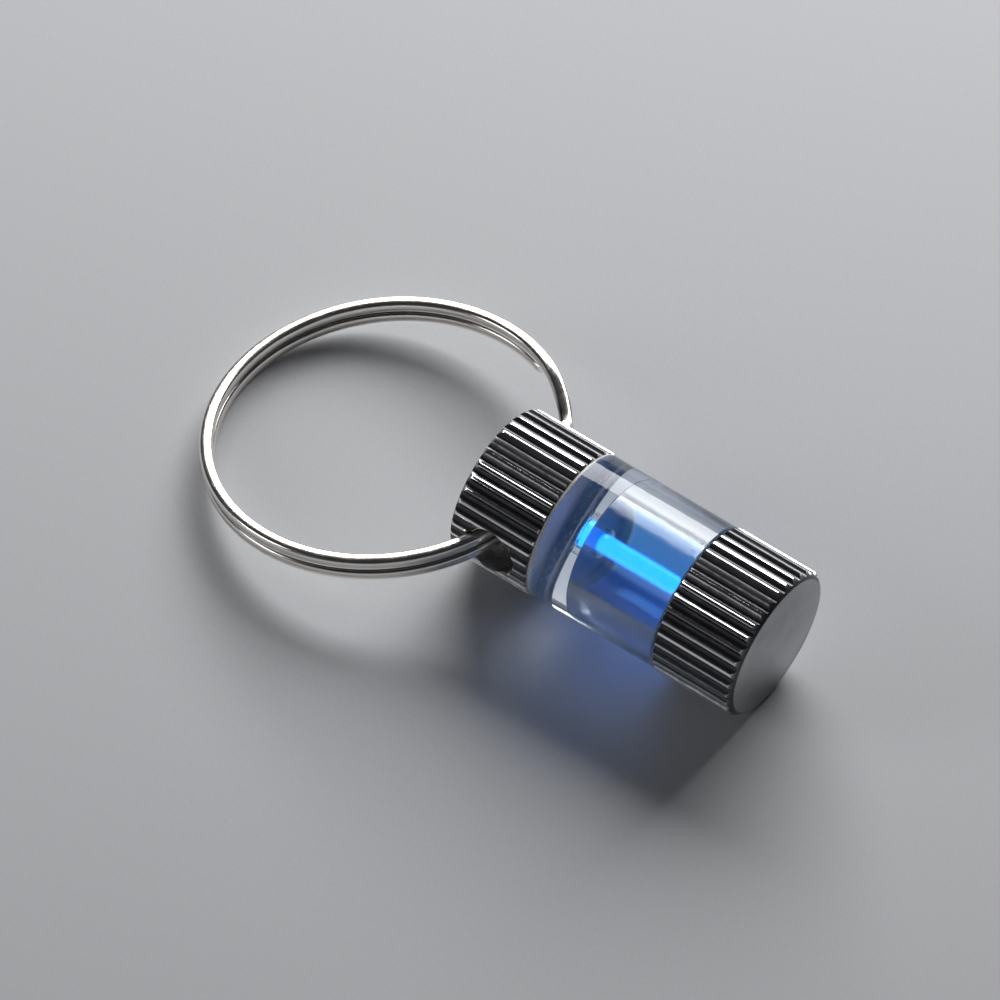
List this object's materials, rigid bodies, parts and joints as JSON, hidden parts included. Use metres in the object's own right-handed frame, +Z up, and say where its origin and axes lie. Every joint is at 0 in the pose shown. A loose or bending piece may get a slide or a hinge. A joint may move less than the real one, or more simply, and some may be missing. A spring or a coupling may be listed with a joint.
{
  "type": "self-luminous key fob",
  "caption": "Short clear cylinder with a glowing glass vial inside, held between two fluted metal caps, with a split key ring through a cross hole in one cap.",
  "frame": {"origin": "bottom centre of the whole fob as it lies on a table with its key ring laid out flat behind it", "axes": "+X along the barrel from the key ring towards the free end cap, +Y along the cross hole, +Z up"},
  "size_m": [0.0491, 0.028, 0.0122],
  "materials": {
    "polished_steel": "polished, fluted",
    "nickel_plated_wire": "plated spring wire, softly polished",
    "clear_acrylic": "clear, polished",
    "vial_glass": "clear borosilicate",
    "blue_phosphor": "glowing powder coat",
    "clear_adhesive": "cured clear adhesive with small bubbles",
    "white_silicone": "soft translucent white",
    "black_rubber": "matt"
  },
  "bodies": {
    "barrel": {"ring_cap": "polished_steel", "clear_body": "clear_acrylic", "ring_cap_bond": "clear_adhesive", "body_o_ring": "black_rubber", "vial_glass": "vial_glass", "phosphor_lining": "blue_phosphor", "vial_end_inner": "vial_glass", "vial_end_outer": "vial_glass", "vial_socket_bond": "clear_adhesive"},
    "cushion": {"vial_cushion": "white_silicone"},
    "end_cap": {"end_cap": "polished_steel"},
    "key_ring": {"key_ring": "nickel_plated_wire"}
  },
  "joints": [
    {"name": "key_ring_swing", "type": "hinge", "parent": "barrel", "child": "key_ring", "pos_m": [0.00276, 0, 0.0061], "axis": [0, 1, 0], "continuous": true},
    {"name": "end_cap_travel", "type": "slide", "parent": "barrel", "child": "cushion", "axis": [1, 0, 0], "range_m": [0, 0.003]},
    {"name": "end_cap_turn", "type": "hinge", "parent": "cushion", "child": "end_cap", "pos_m": [0.01756, 0, 0.0061], "axis": [1, 0, 0], "range_deg": [0, 1440]}
  ],
  "couplings": [
    {"joint": "end_cap_turn", "follows": "end_cap_travel", "rad_per_m": 8377.6}
  ]
}
